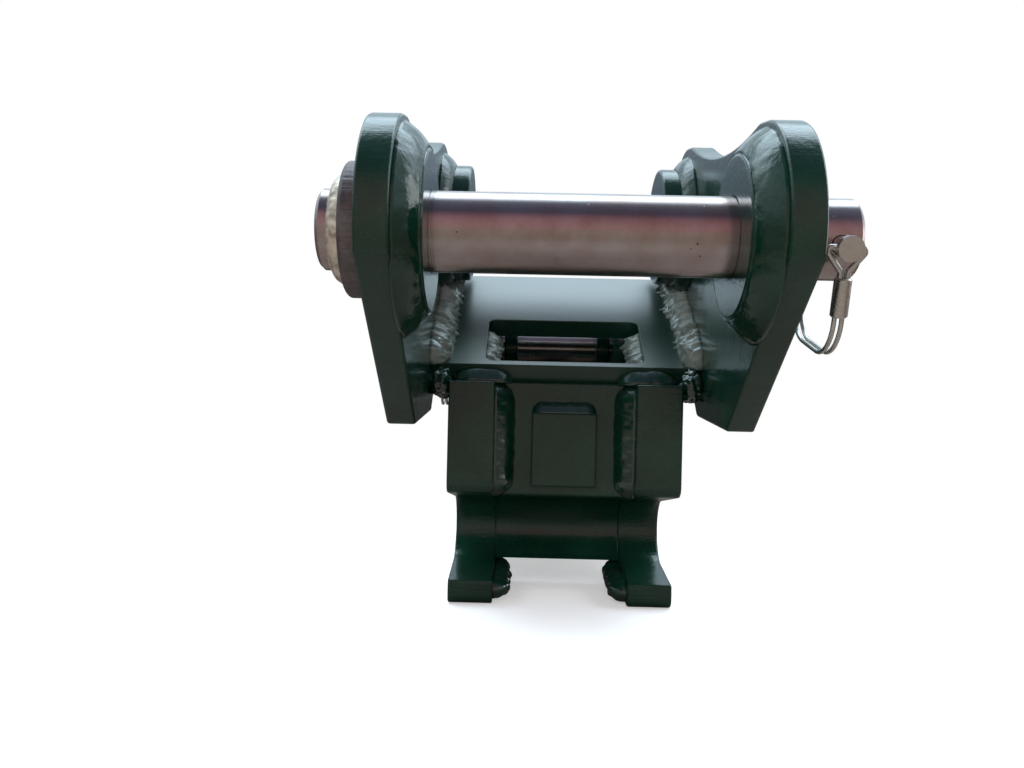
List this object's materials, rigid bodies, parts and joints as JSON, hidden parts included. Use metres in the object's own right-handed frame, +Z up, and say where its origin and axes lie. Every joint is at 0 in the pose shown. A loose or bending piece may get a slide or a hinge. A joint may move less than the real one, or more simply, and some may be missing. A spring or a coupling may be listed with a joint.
{
  "type": "excavator quick coupler",
  "caption": "Mechanical quick coupler of thick welded plate: two ears with cross pins above, a fixed jaw in front and a sprung latch behind.",
  "frame": {"origin": "middle of the front upper pin's axis, halfway between the ears", "axes": "+X along the front upper pin towards its lock pin, +Y from the dipper end towards the latch, +Z up as it stands on its hooks"},
  "size_m": [0.2933, 0.535, 0.357],
  "materials": {
    "green_paint": "thick glossy dark green enamel",
    "polished_steel": "ground and polished pin steel",
    "mill_scale": "flame-cut plate with mill scale",
    "bright_weld": "clean bare weld",
    "zinc_plate": "zinc plated wire and pin",
    "spring_steel": "black spring steel"
  },
  "bodies": {
    "frame": {"left_ear_plate": "green_paint", "right_ear_plate": "green_paint", "front_left_boss": "green_paint", "front_right_boss": "green_paint", "rear_left_boss": "green_paint", "rear_right_boss": "green_paint", "boss_welds": "green_paint", "top_plate": "green_paint", "left_hook_plate": "green_paint", "right_hook_plate": "green_paint", "front_cross_plate": "green_paint", "front_pad_block": "green_paint", "jaw_liner": "green_paint", "seat_liner": "green_paint", "back_plate": "green_paint", "ear_plate_welds": "green_paint", "neck_welds": "green_paint", "window_welds": "green_paint", "cross_plate_welds": "green_paint", "ledge_welds": "green_paint", "lip_welds": "green_paint", "spring_anchor": "green_paint", "latch_spring": "spring_steel"},
    "front_upper_pin": {"front_pin": "polished_steel", "front_pin_flange": "mill_scale", "front_pin_flange_weld": "bright_weld"},
    "front_washer": {"front_pin_washer": "mill_scale"},
    "front_lock": {"front_lock_pin_shank": "zinc_plate", "front_lock_pin_bow": "zinc_plate", "front_lock_pin_yoke": "zinc_plate", "front_lock_pin_ferrule": "zinc_plate"},
    "rear_upper_pin": {"rear_pin": "polished_steel", "rear_pin_flange": "mill_scale", "rear_pin_flange_weld": "bright_weld"},
    "rear_washer": {"rear_pin_washer": "mill_scale"},
    "rear_lock": {"rear_lock_pin_shank": "zinc_plate", "rear_lock_pin_bow": "zinc_plate", "rear_lock_pin_yoke": "zinc_plate", "rear_lock_pin_ferrule": "zinc_plate"},
    "latch": {"latch_left_cheek": "green_paint", "latch_right_cheek": "green_paint", "latch_hook_bar": "green_paint", "latch_spring_seat": "green_paint", "latch_lever_socket": "green_paint"},
    "latch_pin": {"latch_pivot_pin": "polished_steel", "latch_pivot_flange": "mill_scale", "latch_pivot_flange_weld": "bright_weld"},
    "latch_washer": {"latch_pivot_washer": "mill_scale"},
    "latch_lock": {"latch_pivot_lock_pin_shank": "zinc_plate", "latch_pivot_lock_pin_bow": "zinc_plate", "latch_pivot_lock_pin_yoke": "zinc_plate", "latch_pivot_lock_pin_ferrule": "zinc_plate"}
  },
  "joints": [
    {"name": "front_pin_turn", "type": "hinge", "parent": "frame", "child": "front_upper_pin", "pos_m": [0, 0, 0], "axis": [1, 0, 0], "continuous": true},
    {"name": "front_washer_turn", "type": "hinge", "parent": "front_upper_pin", "child": "front_washer", "pos_m": [0.1158, 0, 0], "axis": [1, 0, 0], "continuous": true},
    {"name": "front_lock_swing", "type": "hinge", "parent": "front_upper_pin", "child": "front_lock", "pos_m": [0.1363, 0, 0], "axis": [0, 0.9593, 0.2823], "range_deg": [-192, 12]},
    {"name": "rear_pin_turn", "type": "hinge", "parent": "frame", "child": "rear_upper_pin", "pos_m": [0, 0.222, 0.046], "axis": [1, 0, 0], "continuous": true},
    {"name": "rear_washer_turn", "type": "hinge", "parent": "rear_upper_pin", "child": "rear_washer", "pos_m": [0.1158, 0.222, 0.046], "axis": [1, 0, 0], "continuous": true},
    {"name": "rear_lock_swing", "type": "hinge", "parent": "rear_upper_pin", "child": "rear_lock", "pos_m": [0.1363, 0.222, 0.046], "axis": [0, 0.9593, 0.2823], "range_deg": [-192, 12]},
    {"name": "latch_swing", "type": "hinge", "parent": "frame", "child": "latch", "pos_m": [0, 0.335, -0.05], "axis": [-1, 0, 0], "range_deg": [0, 14], "stiffness_Nm_per_rad": 25, "springref_deg": -20.05, "deforming": ["latch_spring"]},
    {"name": "latch_pin_turn", "type": "hinge", "parent": "frame", "child": "latch_pin", "pos_m": [0, 0.335, -0.05], "axis": [1, 0, 0], "continuous": true},
    {"name": "latch_washer_turn", "type": "hinge", "parent": "latch_pin", "child": "latch_washer", "pos_m": [-0.0835, 0.335, -0.05], "axis": [1, 0, 0], "continuous": true},
    {"name": "latch_lock_swing", "type": "hinge", "parent": "latch_pin", "child": "latch_lock", "pos_m": [-0.1043, 0.335, -0.05], "axis": [0, 0.9593, 0.2823], "range_deg": [-12, 192]}
  ]
}
